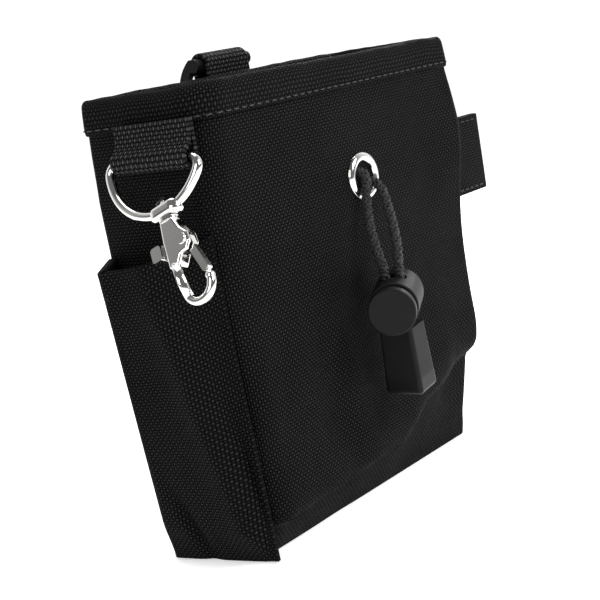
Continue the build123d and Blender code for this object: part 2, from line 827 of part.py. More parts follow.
def belt_clip():
    """The moulded clip: a bar in the strap's fold, two arms and a tongue behind."""
    arm_gap = STRAP_WIDTH / 2 + 0.6
    arm = CLIP_THICK
    half = arm_gap + arm
    with BuildPart() as clip:
        with BuildSketch(Plane.YZ.offset(STRAP_X - half)):
            with Locations((CLIP_BAR_Y, CLIP_BAR_Z)):
                Circle(CLIP_BAR_R)
        extrude(amount=2 * half)
        for side in (-half, arm_gap):
            with BuildSketch(Plane.YZ.offset(STRAP_X + side)):
                with BuildLine():
                    Line((CLIP_BAR_Y - 2.1, CLIP_BAR_Z + 0.6), (CLIP_BAR_Y + 1.4, CLIP_BAR_Z + 2.2))
                    ThreePointArc((CLIP_BAR_Y + 1.4, CLIP_BAR_Z + 2.2), (27.9, 142.0), (30.0, 131.0))
                    Line((30.0, 131.0), (27.4, 131.0))
                    ThreePointArc((27.4, 131.0), (25.6, 140.0), (CLIP_BAR_Y - 2.1, CLIP_BAR_Z + 0.6))
                make_face()
            extrude(amount=arm)
        with BuildSketch(Plane.YZ.offset(STRAP_X - half)):
            with BuildLine():
                Line((27.4, 132.0), (30.0, 132.0))
                Line((30.0, 132.0), (29.6, 94.0))
                ThreePointArc((29.6, 94.0), (30.1, 88.0), (32.0, 82.5))
                Line((32.0, 82.5), (29.6, 81.7))
                ThreePointArc((29.6, 81.7), (27.6, 87.6), (27.0, 94.0))
                Line((27.0, 94.0), (27.4, 132.0))
            make_face()
        extrude(amount=2 * half)
    write(clip.part, "belt_clip")


def build_all():
    """Make every piece of the pouch."""
    os.makedirs("parts", exist_ok=True)
    flat_wall("front_panel", True)
    flat_wall("back_panel", False)
    side_wall("left_side_panel", -1)
    side_wall("right_side_panel", 1)
    base_panel()
    liner()
    rim_binding()
    drawcord_channel()
    eyelet()
    eyelet_washer()
    side_pocket()
    webbing_tab()
    clasp_ring()
    clasp_body()
    clasp_lever()
    clasp_pin()
    clasp_spring()
    cord_lock_body()
    cord_lock_button()
    cord_lock_spring()
    drawcord()
    cord_end()
    cord_end_cap()
    cord_knots()
    side_loop()
    back_strap()
    belt_clip()


build_all()
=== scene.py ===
import math

import bmesh
import bpy
from bpy.props import FloatProperty, FloatVectorProperty, IntProperty, PointerProperty
from mathutils import Matrix, Vector, noise


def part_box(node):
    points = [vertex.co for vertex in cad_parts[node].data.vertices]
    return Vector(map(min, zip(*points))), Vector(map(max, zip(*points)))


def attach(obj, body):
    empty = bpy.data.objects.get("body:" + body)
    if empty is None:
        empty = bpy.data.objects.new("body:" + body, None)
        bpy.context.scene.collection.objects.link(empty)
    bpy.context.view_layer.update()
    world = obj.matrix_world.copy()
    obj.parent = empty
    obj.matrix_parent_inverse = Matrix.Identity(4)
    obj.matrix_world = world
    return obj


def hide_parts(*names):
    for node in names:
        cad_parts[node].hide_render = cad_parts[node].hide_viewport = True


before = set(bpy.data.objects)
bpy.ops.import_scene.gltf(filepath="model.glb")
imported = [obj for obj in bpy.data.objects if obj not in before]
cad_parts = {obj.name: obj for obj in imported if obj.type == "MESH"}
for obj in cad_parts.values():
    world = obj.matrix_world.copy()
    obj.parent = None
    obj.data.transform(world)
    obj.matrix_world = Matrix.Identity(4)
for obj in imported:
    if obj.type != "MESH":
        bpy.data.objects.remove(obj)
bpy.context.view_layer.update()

bl_info = {
    "name": "Treat Pouch Finisher",
    "version": (1, 0, 0),
    "blender": (4, 5, 0),
    "location": "View3D > Sidebar > Pouch",
    "description": "Builds the cloth, webbing, cord and finishes of a treat pouch round its frame",
    "category": "Object",
}

MM = 0.001

# the bag's outer shape, in millimetres: height, half width, front face, back face
BAG_LEVELS = (
    (0.0, 59.5, -17.0, 17.0),
    (13.0, 60.0, -26.5, 17.5),
    (110.0, 64.3, -28.5, 17.5),
    (140.0, 62.5, -29.1, 17.5),
)
RIM_TOP = 140.0
BAND_LOW = 129.4
SOFT_CORNER = 8.5
CRISP_CORNER = 3.0
REAR_CORNER = 1.6
EYELET = (6.2, 102.0)
LOCK_SPOT = (6.0, 64.0)
BELLY = 13.0
CLOTH_TOP = 139.2
LINING_INSET = 1.75
LINING_THICKNESS = 0.0004
STITCH_RISE = 1.7
STITCH_GAP = 0.0010
STITCH_WIDTH = 0.00024
RING_BAR = (-67.7, 121.0)
CLIP_BAR = (22.5, 143.9)

# drawcord routes, in metres
LEFT_ROUTE = (
    (-0.0045, -0.0228, 0.1033), (0.0043, -0.0228, 0.1035), (0.0040, -0.0319, 0.1038),
    (0.0013, -0.0314, 0.0945), (-0.0030, -0.0344, 0.0855), (-0.0048, -0.0374, 0.0776),
    (-0.00408, -0.03812, 0.07346), (-0.00195, -0.03721, 0.04827),
)
RIGHT_ROUTE = (
    (0.0170, -0.0228, 0.1006), (0.0082, -0.0228, 0.1004), (0.0084, -0.0323, 0.0998),
    (0.0066, -0.0354, 0.0930), (0.0026, -0.0394, 0.0850), (-0.0017, -0.0423, 0.0776),
    (-0.00225, -0.04183, 0.07346), (-0.00022, -0.04071, 0.04827),
)
CHANNEL_ROUTE = (
    (-0.0045, -0.0228, 0.1033), (-0.0320, -0.0227, 0.1022), (-0.0595, -0.0228, 0.1020),
    (-0.0595, 0.0132, 0.1019), (0.0, 0.0133, 0.1020), (0.0595, 0.0132, 0.1019),
    (0.0595, -0.0228, 0.1018), (0.0320, -0.0227, 0.1014), (0.0170, -0.0228, 0.1006),
)


# ---- settings

class ClothSettings(bpy.types.PropertyGroup):
    """Sizes and colours of the cloth pieces."""
    shell_color: FloatVectorProperty(
        name="Shell colour", description="Dark side of the woven outer cloth", size=3,
        subtype="COLOR", min=0, max=1, default=(0.0006, 0.0006, 0.0007))
    # painted highlight: the raised thread colour is painted on the crests of the weave, where light catches
    # the threads
    crest_highlight_color: FloatVectorProperty(
        name="Raised thread colour", description="Threads that lie on top of the weave", size=3,
        subtype="COLOR", min=0, max=1, default=(0.029, 0.029, 0.0295))
    lining_color: FloatVectorProperty(
        name="Lining colour", description="Thin lining cloth inside the bag", size=3,
        subtype="COLOR", min=0, max=1, default=(0.006, 0.006, 0.0062))
    thread_pitch: FloatProperty(
        name="Thread pitch", description="Distance between the shell cloth's threads",
        default=0.00092, unit="LENGTH", min=0.0002)
    webbing_pitch: FloatProperty(
        name="Webbing pitch", description="Distance between the webbing's ribs",
        default=0.00095, unit="LENGTH", min=0.0002)
    cloth_thickness: FloatProperty(
        name="Cloth thickness", description="Thickness of the outer cloth",
        default=0.0012, unit="LENGTH", min=0.0003)
    webbing_thickness: FloatProperty(
        name="Webbing thickness", description="Thickness of the webbing",
        default=0.0013, unit="LENGTH", min=0.0003)
    slack: FloatProperty(
        name="Slack", description="Depth of the soft waves in the cloth",
        default=0.0011, unit="LENGTH", min=0.0)
    stitch_length: FloatProperty(
        name="Stitch length", description="Length of one visible stitch",
        default=0.0024, unit="LENGTH", min=0.0005)


class CordSettings(bpy.types.PropertyGroup):
    """Sizes and colour of the braided drawcord."""
    color: FloatVectorProperty(
        name="Cord colour", description="Colour of the braid's threads", size=3,
        subtype="COLOR", min=0, max=1, default=(0.008, 0.008, 0.0085))
    diameter: FloatProperty(
        name="Diameter", description="Nominal diameter; the crests of the braid stand about a tenth proud",
        default=0.003, unit="LENGTH", min=0.001)
    lay: FloatProperty(
        name="Lay", description="Length over which one carrier goes once round",
        default=0.0088, unit="LENGTH", min=0.002)
    carriers: IntProperty(
        name="Carriers", description="Threads that run each way round the braid",
        default=5, min=2, max=12)


class FittingSettings(bpy.types.PropertyGroup):
    """Colours of the metal and plastic fittings."""
    nickel_color: FloatVectorProperty(
        name="Nickel colour", description="Bright plate on the ring, hook and eyelet", size=3,
        subtype="COLOR", min=0, max=1, default=(0.80, 0.79, 0.77))
    plastic_color: FloatVectorProperty(
        name="Plastic colour", description="Moulded cord lock, cord end and belt clip", size=3,
        subtype="COLOR", min=0, max=1, default=(0.004, 0.004, 0.0042))


class StageSettings(bpy.types.PropertyGroup):
    """The camera's place and the light's strength."""
    azimuth: FloatProperty(
        name="Azimuth", description="Turn of the camera round the pouch",
        default=math.radians(-51.04), subtype="ANGLE")
    elevation: FloatProperty(
        name="Elevation", description="Height of the camera above the pouch's middle",
        default=math.radians(10.45), subtype="ANGLE")
    roll: FloatProperty(
        name="Roll", description="Lean of the camera about its own line of sight",
        default=math.radians(-9.84), subtype="ANGLE")
    distance: FloatProperty(
        name="Distance", description="Distance from the camera to the pouch's middle",
        default=0.4565, unit="LENGTH")
    focal_length: FloatProperty(
        name="Focal length", description="Lens length on a 36 mm wide sensor, in millimetres",
        default=84.09)
    strength: FloatProperty(
        name="Light strength", description="Scale of every lamp in the studio", default=1.0, min=0.0)


class PouchSettings(bpy.types.PropertyGroup):
    """All the settings of the treat pouch."""
    cloth: PointerProperty(type=ClothSettings)
    cord: PointerProperty(type=CordSettings)
    fittings: PointerProperty(type=FittingSettings)
    stage: PointerProperty(type=StageSettings)


# ---- shaping helpers

def ease(value, low, high):
    """0 below low, 1 above high, smooth between."""
    share = min(max((value - low) / (high - low), 0.0), 1.0)
    return share * share * (3 - 2 * share)


def hill(value, centre, width):
    """A smooth hill of height 1 about a centre."""
    return math.exp(-((value - centre) / width) ** 2)


def drift(x, y, z):
    """Smooth noise at a place, the same each time."""
    return noise.noise(Vector((x, y, z)))


def put_in_scene(name, data):
    """A new object for a mesh, curve, lamp or camera, linked to the scene."""
    made = bpy.data.objects.new(name, data)
    bpy.context.scene.collection.objects.link(made)
    return made


def deselect():
    """Clear the selection, so that the next operator acts on its own piece only."""
    if bpy.context.object and bpy.context.object.mode != "OBJECT":
        bpy.ops.object.mode_set(mode="OBJECT")
    bpy.ops.object.select_all(action="DESELECT")


def make_active(piece):
    """Select one piece alone."""
    deselect()
    piece.select_set(True)
    bpy.context.view_layer.objects.active = piece


def apply_modifier(piece, kind, **values):
    """Add a modifier, set its values and apply it."""
    make_active(piece)
    modifier = piece.modifiers.new(kind.title(), kind)
    for key, value in values.items():
        setattr(modifier, key, value)
    bpy.ops.object.modifier_apply(modifier=modifier.name)


def weld(piece, distance=0.00002):
    """Merge the vertices that lie on each other."""
    make_active(piece)
    bpy.ops.object.mode_set(mode="EDIT")
    bpy.ops.mesh.select_all(action="SELECT")
    bpy.ops.mesh.remove_doubles(threshold=distance)
    bpy.ops.object.mode_set(mode="OBJECT")


def smooth(piece, angle=50):
    """Smooth shading, with edges sharper than the angle kept."""
    make_active(piece)
    bpy.ops.object.shade_smooth_by_angle(angle=math.radians(angle))


def cloth_grid(name, columns, rows, place, uv_size):
    """A grid laid over a surface: place(u, v) gives millimetres, uv_size the cloth's size in metres."""
    deselect()
    bpy.ops.mesh.primitive_grid_add(x_subdivisions=columns, y_subdivisions=rows, size=1.0)
    piece = bpy.context.object
    piece.name = name
    for vertex in piece.data.vertices:
        across, along = vertex.co.x + 0.5, vertex.co.y + 0.5
        vertex.co = Vector(place(across, along)) * MM
    for loop_uv in piece.data.uv_layers.active.data:
        loop_uv.uv = (loop_uv.uv[0] * uv_size[0], loop_uv.uv[1] * uv_size[1])
    return piece


def thicken(piece, thickness, offset=-1.0):
    """Give a cloth sheet its thickness, inwards unless told otherwise."""
    apply_modifier(piece, "SOLIDIFY", thickness=thickness, offset=offset, use_even_offset=False)


def settle(piece, slot, material, *nodes):
    """Give a finished piece its material and its place in the frame."""
    piece.data.materials.clear()
    piece.data.materials.append(material)
    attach(piece, "pouch")
    if nodes:
        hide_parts(*nodes)


def bag_level(height):
    """Half width, front and back of the bag at one height."""
    for low, high in zip(BAG_LEVELS, BAG_LEVELS[1:]):
        if height <= high[0]:
            share = (height - low[0]) / (high[0] - low[0])
            return [a + share * (b - a) for a, b in zip(low[1:], high[1:])]
    return list(BAG_LEVELS[-1][1:])


# shares of the way round at which each side or corner of the bag starts
SIDES = (0.0, 0.13, 0.175, 0.515, 0.54, 0.67, 0.68, 0.99, 1.0)


def around(share, height):
    """A point of the bag's outline and its outward direction, from the rear left corner by the front."""
    half, front, back = bag_level(height)
    soft, crisp, rear = SOFT_CORNER, CRISP_CORNER, REAR_CORNER
    index = max(i for i in range(8) if share >= SIDES[i] - 1e-9)
    part = (share - SIDES[index]) / (SIDES[index + 1] - SIDES[index])
    if index == 0:
        return (-half, back - rear + part * (front + soft - back + rear)), (-1, 0)
    if index == 2:
        return (-half + soft + part * (2 * half - soft - crisp), front), (0, -1)
    if index == 4:
        return (half, front + crisp + part * (back - rear - front - crisp)), (1, 0)
    if index == 6:
        return (half - rear + part * (2 * rear - 2 * half), back), (0, 1)
    centres = {1: (-half + soft, front + soft, soft, 180), 3: (half - crisp, front + crisp, crisp, 270),
               5: (half - rear, back - rear, rear, 0), 7: (-half + rear, back - rear, rear, 90)}
    x, y, radius, start = centres[index]
    angle = math.radians(start + 90 * part)
    out = (math.cos(angle), math.sin(angle))
    return (x + radius * out[0], y + radius * out[1]), out


def crease_height(x):
    """Height of the fold where the front cloth tucks under, along the front."""
    return (13.2 + 10.0 * ease(x, 8, 28) + 9.5 * ease(x, 24, 60)
            - 3.2 * ease(-x, 5, 58) + 0.5 * math.sin(x * 0.11))


def tuck(x, height):
    """How far the front cloth is drawn in below its fold, beyond the straight wall."""
    fold = crease_height(x)
    wall = bag_level(height)[1]
    pillow = 1.1 * hill(height, fold + 7.0, 8.0)
    if height >= fold:
        belly = bag_level(max(height, BELLY))[1] - wall
        return belly - pillow * ease(height, fold, fold + 2.5)
    belly = bag_level(BELLY)[1]
    depth = 1 - height / fold
    inward = 9.4 * (0.36 * ease(depth, 0.0, 0.13) + 0.64 * depth)
    return belly + inward - wall


def near(x, height, spot, radius):
    """1 at a spot on the front, falling to 0 away from it."""
    return math.exp(-((x - spot[0]) ** 2 + (height - spot[1]) ** 2) / radius ** 2)


def waves(x, y, height, slack):
    """Soft unevenness of the cloth, the same each time."""
    wide = drift(x * 0.028 + 3.1, y * 0.05, height * 0.022)
    fine = drift(x * 0.075, y * 0.11 + 8.0, height * 0.05)
    return slack * (1.15 * wide + 0.4 * fine)


def bag_point(share, height, inset=0.0, slack=None):
    """A point on the bag's cloth, in millimetres, with its bulges, folds and waves."""
    if slack is None:
        slack = bpy.context.scene.treat_pouch.cloth.slack / MM
    (x, y), out = around(share, height)
    front = max(-out[1], 0.0)
    left = max(-out[0], 0.0)
    right = max(out[0], 0.0)
    free = ease(height, 2, 14) * (1 - ease(height, 122, 131))
    calm = 1 - 0.85 * max(near(x, height, LOCK_SPOT, 20) * front, near(x, height, EYELET, 13) * front)
    push = waves(x, y, height, slack) * free * calm
    # the left side sinks a little between the tab and the pocket
    push -= 1.3 * left * hill(y, -4, 13) * hill(height, 105, 22)
    # the front right edge swells below the rim
    push += 1.5 * (right + front * ease(x, 40, 62)) * hill(height, 108, 20)
    # long shallow fold down the front, left of the cord end
    push -= 2.0 * front * hill(x + 0.10 * (height - 40), -24, 8) * hill(height, 38, 26)
    push += 1.0 * front * hill(x, -42, 12) * hill(height, 55, 32)
    # slack cloth leans in towards the lower right corner
    push -= 1.4 * front * hill(x, 47, 9) * hill(height, 26, 13)
    level = bag_level(height)
    reach = min(max((level[2] - y) / (level[2] - level[1]), 0.0), 1.0)
    x += out[0] * (push - inset)
    y += out[1] * (push - inset) + reach * tuck(x, height)
    return x, y, height


def stitch_mesh():
    """One stitch: a short thread that dips into the cloth at both ends."""
    deselect()
    bpy.ops.mesh.primitive_uv_sphere_add(segments=8, ring_count=6, radius=1.0)
    piece = bpy.context.object
    mesh = piece.data.copy()
    bpy.data.objects.remove(piece)
    return mesh


def stitch_line(name, points, length=None):
    """A row of stitches along points in metres, given with the cloth's outward direction at each."""
    length = length or bpy.context.scene.treat_pouch.cloth.stitch_length
    template = stitch_mesh()
    built = bmesh.new()
    travelled = 0.0
    wanted = length / 2
    for (start, out_a), (end, out_b) in zip(points, points[1:]):
        run = (end - start).length
        while run > 0 and travelled + run >= wanted:
            share = (wanted - travelled) / run
            spot = start.lerp(end, share)
            forward = (end - start).normalized()
            out = out_a.lerp(out_b, share)
            out = (out - forward * out.dot(forward)).normalized()
            side = forward.cross(out)
            axes = (forward * length / 2, side * STITCH_WIDTH, out * STITCH_WIDTH * 0.8)
            turn = Matrix(axes).transposed().to_4x4()
            copy = template.copy()
            copy.transform(Matrix.Translation(spot) @ turn)
            built.from_mesh(copy)
            bpy.data.meshes.remove(copy)
            wanted += length + STITCH_GAP
        travelled += run
    mesh = bpy.data.meshes.new(name)
    built.to_mesh(mesh)
    built.free()
    bpy.data.meshes.remove(template)
    piece = put_in_scene(name, mesh)
    weld(piece, 0.000001)
    smooth(piece, 80)
    settle(piece, "shell_fabric", thread_material())


def path_of(places, outward):
    """Points in metres with outward directions, from places in millimetres."""
    return [(Vector(place) * MM, Vector(outward)) for place in places]


# ---- materials

def new_material(name):
    """A node material, its tree and its shader; the tree is None where the material is made already."""
    known = bpy.data.materials.get(name)
    if known:
        return known, None, None
    material = bpy.data.materials.new(name)
    material.use_nodes = True
    tree = material.node_tree
    return material, tree, tree.nodes["Principled BSDF"]


def preset(node, **values):
    """Set a node's own inputs. An underscore in a name stands for a space."""
    for key, value in values.items():
        node.inputs[key.replace("_", " ")].default_value = value


def maths(tree, operation, first, second=None, third=None):
    """A Math node fed by sockets or numbers."""
    node = tree.nodes.new("ShaderNodeMath")
    node.operation = operation
    for index, value in enumerate((first, second, third)):
        if value is None:
            continue
        if isinstance(value, (int, float)):
            node.inputs[index].default_value = value
        else:
            tree.links.new(value, node.inputs[index])
    return node.outputs[0]


def mix_colors(tree, share, first, second):
    """Mix two colours, or a colour socket and a colour, by a share."""
    node = tree.nodes.new("ShaderNodeMix")
    node.data_type = "RGBA"
    tree.links.new(share, node.inputs[0])
    for index, value in ((6, first), (7, second)):
        if isinstance(value, (tuple, list)):
            node.inputs[index].default_value = (*value[:3], 1)
        else:
            tree.links.new(value, node.inputs[index])
    return node.outputs[2]


def woven(tree, across_pitch, along_pitch, basket=0.5):
    """Height of a plain weave on the piece's UV map."""
    uv = tree.nodes.new("ShaderNodeUVMap")
    parts = tree.nodes.new("ShaderNodeSeparateXYZ")
    wobble = tree.nodes.new("ShaderNodeTexNoise")
    preset(wobble, Scale=420, Detail=1)
    shift = tree.nodes.new("ShaderNodeVectorMath")
    shift.operation = "MULTIPLY_ADD"
    tree.links.new(uv.outputs[0], wobble.inputs["Vector"])
    tree.links.new(wobble.outputs["Color"], shift.inputs[0])
    shift.inputs[1].default_value = (across_pitch * 0.35, along_pitch * 0.35, 0)
    tree.links.new(uv.outputs[0], shift.inputs[2])
    tree.links.new(shift.outputs[0], parts.inputs[0])
    warp = maths(tree, "SINE", maths(tree, "MULTIPLY", parts.outputs[0], math.pi / across_pitch))
    weft = maths(tree, "SINE", maths(tree, "MULTIPLY", parts.outputs[1], math.pi / along_pitch))
    on_top = maths(tree, "GREATER_THAN", maths(tree, "MULTIPLY", warp, weft), 0.0)
    warp_size = maths(tree, "ABSOLUTE", warp)
    weft_size = maths(tree, "ABSOLUTE", weft)
    high = maths(tree, "MULTIPLY", maths(tree, "POWER", warp_size, 0.75),
                 maths(tree, "POWER", weft_size, 0.45))
    low = maths(tree, "MULTIPLY", maths(tree, "POWER", warp_size, 0.40),
                maths(tree, "POWER", weft_size, 0.8))
    low = maths(tree, "MULTIPLY", low, basket)
    difference = maths(tree, "SUBTRACT", high, low)
    return maths(tree, "MULTIPLY_ADD", on_top, difference, low)


def bumped(tree, shader, height, strength, distance):
    """Feed a height into the shader's normal."""
    bump = tree.nodes.new("ShaderNodeBump")
    preset(bump, Strength=strength, Distance=distance)
    tree.links.new(height, bump.inputs["Height"])
    tree.links.new(bump.outputs[0], shader.inputs["Normal"])


def wear_noise(tree, scale, detail=4):
    """Noise on the piece's own place, for slow changes of tone."""
    place = tree.nodes.new("ShaderNodeTexCoord")
    cloud = tree.nodes.new("ShaderNodeTexNoise")
    preset(cloud, Scale=scale, Detail=detail)
    tree.links.new(place.outputs["Object"], cloud.inputs["Vector"])
    return cloud.outputs["Fac"]


def cloth_material(name, pitch, dark, light, bump, sheen=0.25, basket=0.56, along=None):
    """Woven cloth: threads over and under, a painted highlight on the crests of the raised threads, slow
    changes of tone and a soft sheen.
    """
    material, tree, shader = new_material(name)
    if tree is None:
        return material
    height = woven(tree, pitch, along or pitch, basket)
    # painted highlight: the crests of the raised threads take the light colour, the rest of the weave the
    # dark colour
    crest = maths(tree, "POWER", height, 2.3)
    color = mix_colors(tree, crest, tuple(dark), tuple(light))
    tone = maths(tree, "MULTIPLY_ADD", wear_noise(tree, 38), 0.7, 0.65)
    shade = tree.nodes.new("ShaderNodeVectorMath")
    shade.operation = "SCALE"
    tree.links.new(color, shade.inputs[0])
    tree.links.new(tone, shade.inputs["Scale"])
    tree.links.new(shade.outputs[0], shader.inputs["Base Color"])
    rough = maths(tree, "MULTIPLY_ADD", wear_noise(tree, 160), 0.22, 0.52)
    tree.links.new(rough, shader.inputs["Roughness"])
    preset(shader, Specular_IOR_Level=0.03, Sheen_Weight=sheen, Sheen_Roughness=0.45)
    bumped(tree, shader, height, 1.0, bump)
    return material


def shell_material():
    """Coarse black nylon of the bag."""
    cloth = bpy.context.scene.treat_pouch.cloth
    # the raised thread colour goes in as the painted highlight on the weave's crests
    return cloth_material("shell_nylon", cloth.thread_pitch, cloth.shell_color, cloth.crest_highlight_color, 0.00042,
                          sheen=0.0)


def lining_material():
    """Thin close lining cloth, with a painted highlight on its thread crests."""
    cloth = bpy.context.scene.treat_pouch.cloth
    # painted light: the lining colour is painted on the thread crests as a highlight, a darker copy at six
    # tenths of it on the rest
    return cloth_material("lining_cloth", 0.00034, [c * 0.6 for c in cloth.lining_color],
                          cloth.lining_color, 0.00005, sheen=0.01, basket=0.9)


def webbing_material():
    """Ribbed webbing: strong rows across, finer threads along, with a painted highlight on the crests of
    the ribs.
    """
    cloth = bpy.context.scene.treat_pouch.cloth
    # painted highlight: the crests of the ribs are painted three times as light as the shell cloth's raised
    # threads
    return cloth_material("ribbed_webbing", cloth.webbing_pitch, cloth.shell_color,
                          [c * 3.0 for c in cloth.crest_highlight_color], 0.0006, sheen=0.0, basket=0.6,
                          along=cloth.webbing_pitch * 1.4)


def thread_material():
    """Sewing thread with a fine twist and a painted highlight on the crests of the twist."""
    material, tree, shader = new_material("sewing_thread")
    if tree is None:
        return material
    place = tree.nodes.new("ShaderNodeTexCoord")
    twist = tree.nodes.new("ShaderNodeTexWave")
    twist.bands_direction = "DIAGONAL"
    preset(twist, Scale=900)
    tree.links.new(place.outputs["Object"], twist.inputs["Vector"])
    # painted highlight: the raised bands of the twist are painted lighter than the grooves between them
    color = mix_colors(tree, twist.outputs["Fac"], (0.003, 0.003, 0.003), (0.022, 0.022, 0.023))
    tree.links.new(color, shader.inputs["Base Color"])
    preset(shader, Roughness=0.5)
    bumped(tree, shader, twist.outputs["Fac"], 0.4, 0.00005)
    return material


def cord_material():
    """Filament yarn of the braid, with fine threads along each carrier and a painted highlight on each
    thread's crest.
    """
    material, tree, shader = new_material("braid_yarn")
    if tree is None:
        return material
    settings = bpy.context.scene.treat_pouch.cord
    uv = tree.nodes.new("ShaderNodeUVMap")
    parts = tree.nodes.new("ShaderNodeSeparateXYZ")
    tree.links.new(uv.outputs[0], parts.inputs[0])
    filaments = maths(tree, "SINE", maths(tree, "MULTIPLY", parts.outputs[0], 2 * math.pi * 9))
    share = maths(tree, "MULTIPLY_ADD", filaments, 0.5, 0.5)
    # painted highlight: a lit copy of the cord colour, 3.4 times as light, on each fine thread's crest and
    # a shaded copy, half as light, between them
    dark = [c * 0.5 for c in settings.color]
    light = [c * 3.4 for c in settings.color]
    tree.links.new(mix_colors(tree, share, dark, light), shader.inputs["Base Color"])
    preset(shader, Roughness=0.42, Specular_IOR_Level=0.25)
    bumped(tree, shader, share, 0.5, 0.00008)
    return material


def nickel_material():
    """Bright nickel plate with a slightly uneven cast surface and faint handling marks."""
    material, tree, shader = new_material("nickel_plate")
    if tree is None:
        return material
    color = bpy.context.scene.treat_pouch.fittings.nickel_color
    cloud = wear_noise(tree, 260, 6)
    marks = wear_noise(tree, 1900, 3)
    tree.links.new(mix_colors(tree, cloud, tuple(color), tuple(c * 0.86 for c in color)),
                   shader.inputs["Base Color"])
    rough = maths(tree, "MULTIPLY_ADD", marks, 0.12, 0.13)
    tree.links.new(rough, shader.inputs["Roughness"])
    preset(shader, Metallic=1.0)
    bumped(tree, shader, cloud, 0.12, 0.0003)
    return material


def steel_material():
    """Drawn spring wire."""
    material, tree, shader = new_material("spring_wire")
    if tree is None:
        return material
    cloud = wear_noise(tree, 1200, 3)
    tree.links.new(mix_colors(tree, cloud, (0.42, 0.42, 0.43), (0.62, 0.62, 0.63)),
                   shader.inputs["Base Color"])
    preset(shader, Metallic=1.0)
    tree.links.new(maths(tree, "MULTIPLY_ADD", cloud, 0.2, 0.22), shader.inputs["Roughness"])
    return material


def plastic_material(name, rough, grain):
    """Moulded acetal: satin, with a fine spark-eroded grain and rubbed tone."""
    material, tree, shader = new_material(name)
    if tree is None:
        return material
    color = bpy.context.scene.treat_pouch.fittings.plastic_color
    cloud = wear_noise(tree, 90, 5)
    speck = wear_noise(tree, 5200, 2)
    tree.links.new(mix_colors(tree, cloud, tuple(c * 0.8 for c in color), tuple(c * 1.35 for c in color)),
                   shader.inputs["Base Color"])
    spread = maths(tree, "MULTIPLY_ADD", cloud, 0.14, rough)
    tree.links.new(spread, shader.inputs["Roughness"])
    preset(shader, Specular_IOR_Level=0.14)
    bumped(tree, shader, speck, grain, 0.00006)
    return material


def floor_material():
    """Plain pale paper floor."""
    material, tree, shader = new_material("studio_floor")
    if tree is None:
        return material
    cloud = wear_noise(tree, 6, 3)
    tree.links.new(mix_colors(tree, cloud, (0.90, 0.90, 0.90), (0.94, 0.94, 0.94)),
                   shader.inputs["Base Color"])
    preset(shader, Roughness=0.9, Emission_Color=(1, 1, 1, 1), Emission_Strength=0.5)
    return material


# ---- operators

class POUCH_OT_shell(bpy.types.Operator):
    """Builds the outer cloth of the bag: the wall that goes round it and the base"""
    bl_idname = "pouch.shell"
    bl_label = "Outer cloth"

    def execute(self, context):
        cloth = context.scene.treat_pouch.cloth
        wall = cloth_grid("bag_wall", 320, 104,
                          lambda u, v: bag_point(u % 1.0, v * CLOTH_TOP), (0.340, 0.139))
        weld(wall)
        thicken(wall, cloth.cloth_thickness)
        smooth(wall)
        settle(wall, "shell_fabric", shell_material(), "front_panel", "back_panel",
               "left_side_panel", "right_side_panel")

        def floor_place(u, v):
            x = (u - 0.5) * 2 * (BAG_LEVELS[0][1] - 1.5)
            y = (v - 0.5) * 2 * (BAG_LEVELS[0][3] - 1.5)
            return x, y, 0.05 + 0.35 * math.sin(math.pi * u) * math.sin(math.pi * v)
        base = cloth_grid("bag_base", 60, 20, floor_place, (0.116, 0.032))
        thicken(base, cloth.cloth_thickness, 1.0)
        smooth(base)
        settle(base, "shell_fabric", shell_material(), "base_panel")
        return {"FINISHED"}


class POUCH_OT_lining(bpy.types.Operator):
    """Builds the lining bag and the gathered channel that holds the drawcord"""
    bl_idname = "pouch.lining"
    bl_label = "Lining"

    def execute(self, context):
        def wall_place(u, v):
            return bag_point(u % 1.0, 2.2 + v * 134.0, LINING_INSET)
        wall = cloth_grid("lining_wall", 200, 60, wall_place, (0.33, 0.134))
        weld(wall)
        thicken(wall, LINING_THICKNESS)
        smooth(wall)
        settle(wall, "lining_fabric", lining_material(), "liner")

        def floor_place(u, v):
            x = (u - 0.5) * 2 * (BAG_LEVELS[0][1] - 3.2)
            y = (v - 0.5) * 2 * (BAG_LEVELS[0][3] - 3.2)
            return x, y, 2.3 + 0.25 * drift(x * 0.09, y * 0.12, 4.0)
        floor = cloth_grid("lining_floor", 60, 20, floor_place, (0.112, 0.028))
        thicken(floor, LINING_THICKNESS, 1.0)
        smooth(floor)
        settle(floor, "lining_fabric", lining_material())

        profile = ((2.3, 97.9), (4.2, 98.5), (5.9, 99.9), (6.6, 102.1), (5.9, 104.3), (4.2, 105.7),
                   (2.3, 106.3), (2.3, 102.0), (2.3, 97.9))

        def channel_place(u, v):
            inset, height = profile[min(int(v * 8 + 0.5), 8)]
            if inset > 3:
                inset += 0.35 * math.sin(u * 2 * math.pi * 74) + 0.3 * math.sin(u * 2 * math.pi * 31)
            return bag_point(u % 1.0, height, inset)
        channel = cloth_grid("channel_gather", 420, 8, channel_place, (0.33, 0.026))
        weld(channel)
        apply_modifier(channel, "SUBSURF", levels=1, render_levels=1)
        smooth(channel, 70)
        settle(channel, "lining_fabric", lining_material(), "drawcord_channel")
        return {"FINISHED"}


def rim_sway(x, y):
    """How far the rim band wanders outwards at one place."""
    return 0.35 * drift(x * 0.06, y * 0.06, 11.0)


